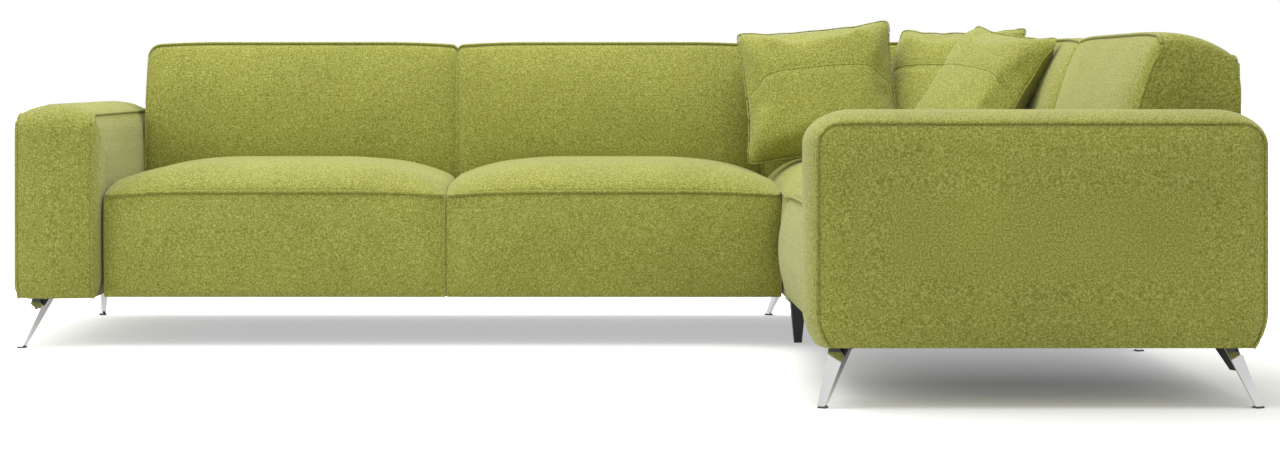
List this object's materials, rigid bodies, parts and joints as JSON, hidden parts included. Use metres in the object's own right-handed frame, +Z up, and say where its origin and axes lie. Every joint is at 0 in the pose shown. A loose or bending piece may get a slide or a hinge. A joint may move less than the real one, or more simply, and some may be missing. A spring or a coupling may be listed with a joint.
{
  "type": "corner sofa",
  "caption": "Corner sofa in three modules with boxed arms, sloping backs, piped crowned seats, splayed chrome angle feet and loose throw pillows",
  "frame": {"origin": "on the floor, under the middle of the sofa's outline", "axes": "+X along the long wing to the right, +Y to its back, +Z up"},
  "size_m": [2.88, 2.16, 0.8429],
  "materials": {
    "sofa_fabric": "olive melange weave",
    "pillow_fabric": "olive melange weave",
    "dust_cloth": "black nonwoven",
    "webbing": "elastic webbing",
    "timber": "raw board",
    "spring_steel": "drawn wire",
    "chrome": "polished",
    "black_plastic": "satin black",
    "glide_plastic": "matt dark",
    "zinc_steel": "zinc plated"
  },
  "bodies": {
    "corner_module": {"corner_back_frame": "timber", "corner_back_pad_far": "sofa_fabric", "corner_back_pad_side": "sofa_fabric", "corner_base_frame": "timber", "corner_dust_cover": "dust_cloth", "corner_foot_screw": "zinc_steel", "corner_glides": "glide_plastic", "corner_inner_foot": "black_plastic", "corner_leg_blocks": "black_plastic", "corner_leg_screws": "zinc_steel", "corner_legs": "chrome", "corner_rear_panel_far": "sofa_fabric", "corner_rear_panel_side": "sofa_fabric", "corner_receivers": "zinc_steel", "corner_seat_pad": "sofa_fabric", "corner_seat_springs": "spring_steel", "corner_spring_clips": "spring_steel", "corner_webbing": "webbing"},
    "left_module": {"left_arm_bolts": "zinc_steel", "left_arm_frame": "timber", "left_arm_pad": "sofa_fabric", "left_back_frame": "timber", "left_back_pad_1": "sofa_fabric", "left_back_pad_2": "sofa_fabric", "left_base_frame": "timber", "left_dust_cover": "dust_cloth", "left_glides": "glide_plastic", "left_hooks": "zinc_steel", "left_leg_blocks": "black_plastic", "left_leg_screws": "zinc_steel", "left_legs": "chrome", "left_rear_panel": "sofa_fabric", "left_seat_pad_1": "sofa_fabric", "left_seat_pad_2": "sofa_fabric", "left_seat_springs": "spring_steel", "left_spring_clips": "spring_steel", "left_webbing": "webbing"},
    "right_module": {"right_arm_bolts": "zinc_steel", "right_arm_frame": "timber", "right_arm_pad": "sofa_fabric", "right_back_frame": "timber", "right_back_pad": "sofa_fabric", "right_base_frame": "timber", "right_dust_cover": "dust_cloth", "right_glides": "glide_plastic", "right_hooks": "zinc_steel", "right_leg_blocks": "black_plastic", "right_leg_screws": "zinc_steel", "right_legs": "chrome", "right_rear_panel": "sofa_fabric", "right_seat_pad": "sofa_fabric", "right_seat_springs": "spring_steel", "right_spring_clips": "spring_steel", "right_webbing": "webbing"},
    "pillow_1": {"throw_pillow_1": "pillow_fabric"},
    "pillow_2": {"throw_pillow_2": "pillow_fabric"},
    "pillow_3": {"throw_pillow_3": "pillow_fabric"}
  },
  "joints": [
    {"name": "left_wing_unhook", "type": "slide", "parent": "corner_module", "child": "left_module", "axis": [0, 0, 1], "range_m": [0, 0.06]},
    {"name": "right_wing_unhook", "type": "slide", "parent": "corner_module", "child": "right_module", "axis": [0, 0, 1], "range_m": [0, 0.06]},
    {"name": "pillow_1_lift", "type": "slide", "parent": "left_module", "child": "pillow_1", "axis": [0, 0, 1], "range_m": [0, 0.3]},
    {"name": "pillow_2_lift", "type": "slide", "parent": "corner_module", "child": "pillow_2", "axis": [0.1866, 0.3079, 0.933], "range_m": [0, 0.3]},
    {"name": "pillow_3_lift", "type": "slide", "parent": "corner_module", "child": "pillow_3", "axis": [0.1866, 0.3079, 0.933], "range_m": [0, 0.3]}
  ],
  "couplings": [
    {"joint": "pillow_3_lift", "follows": "pillow_2_lift", "ratio": 1}
  ]
}
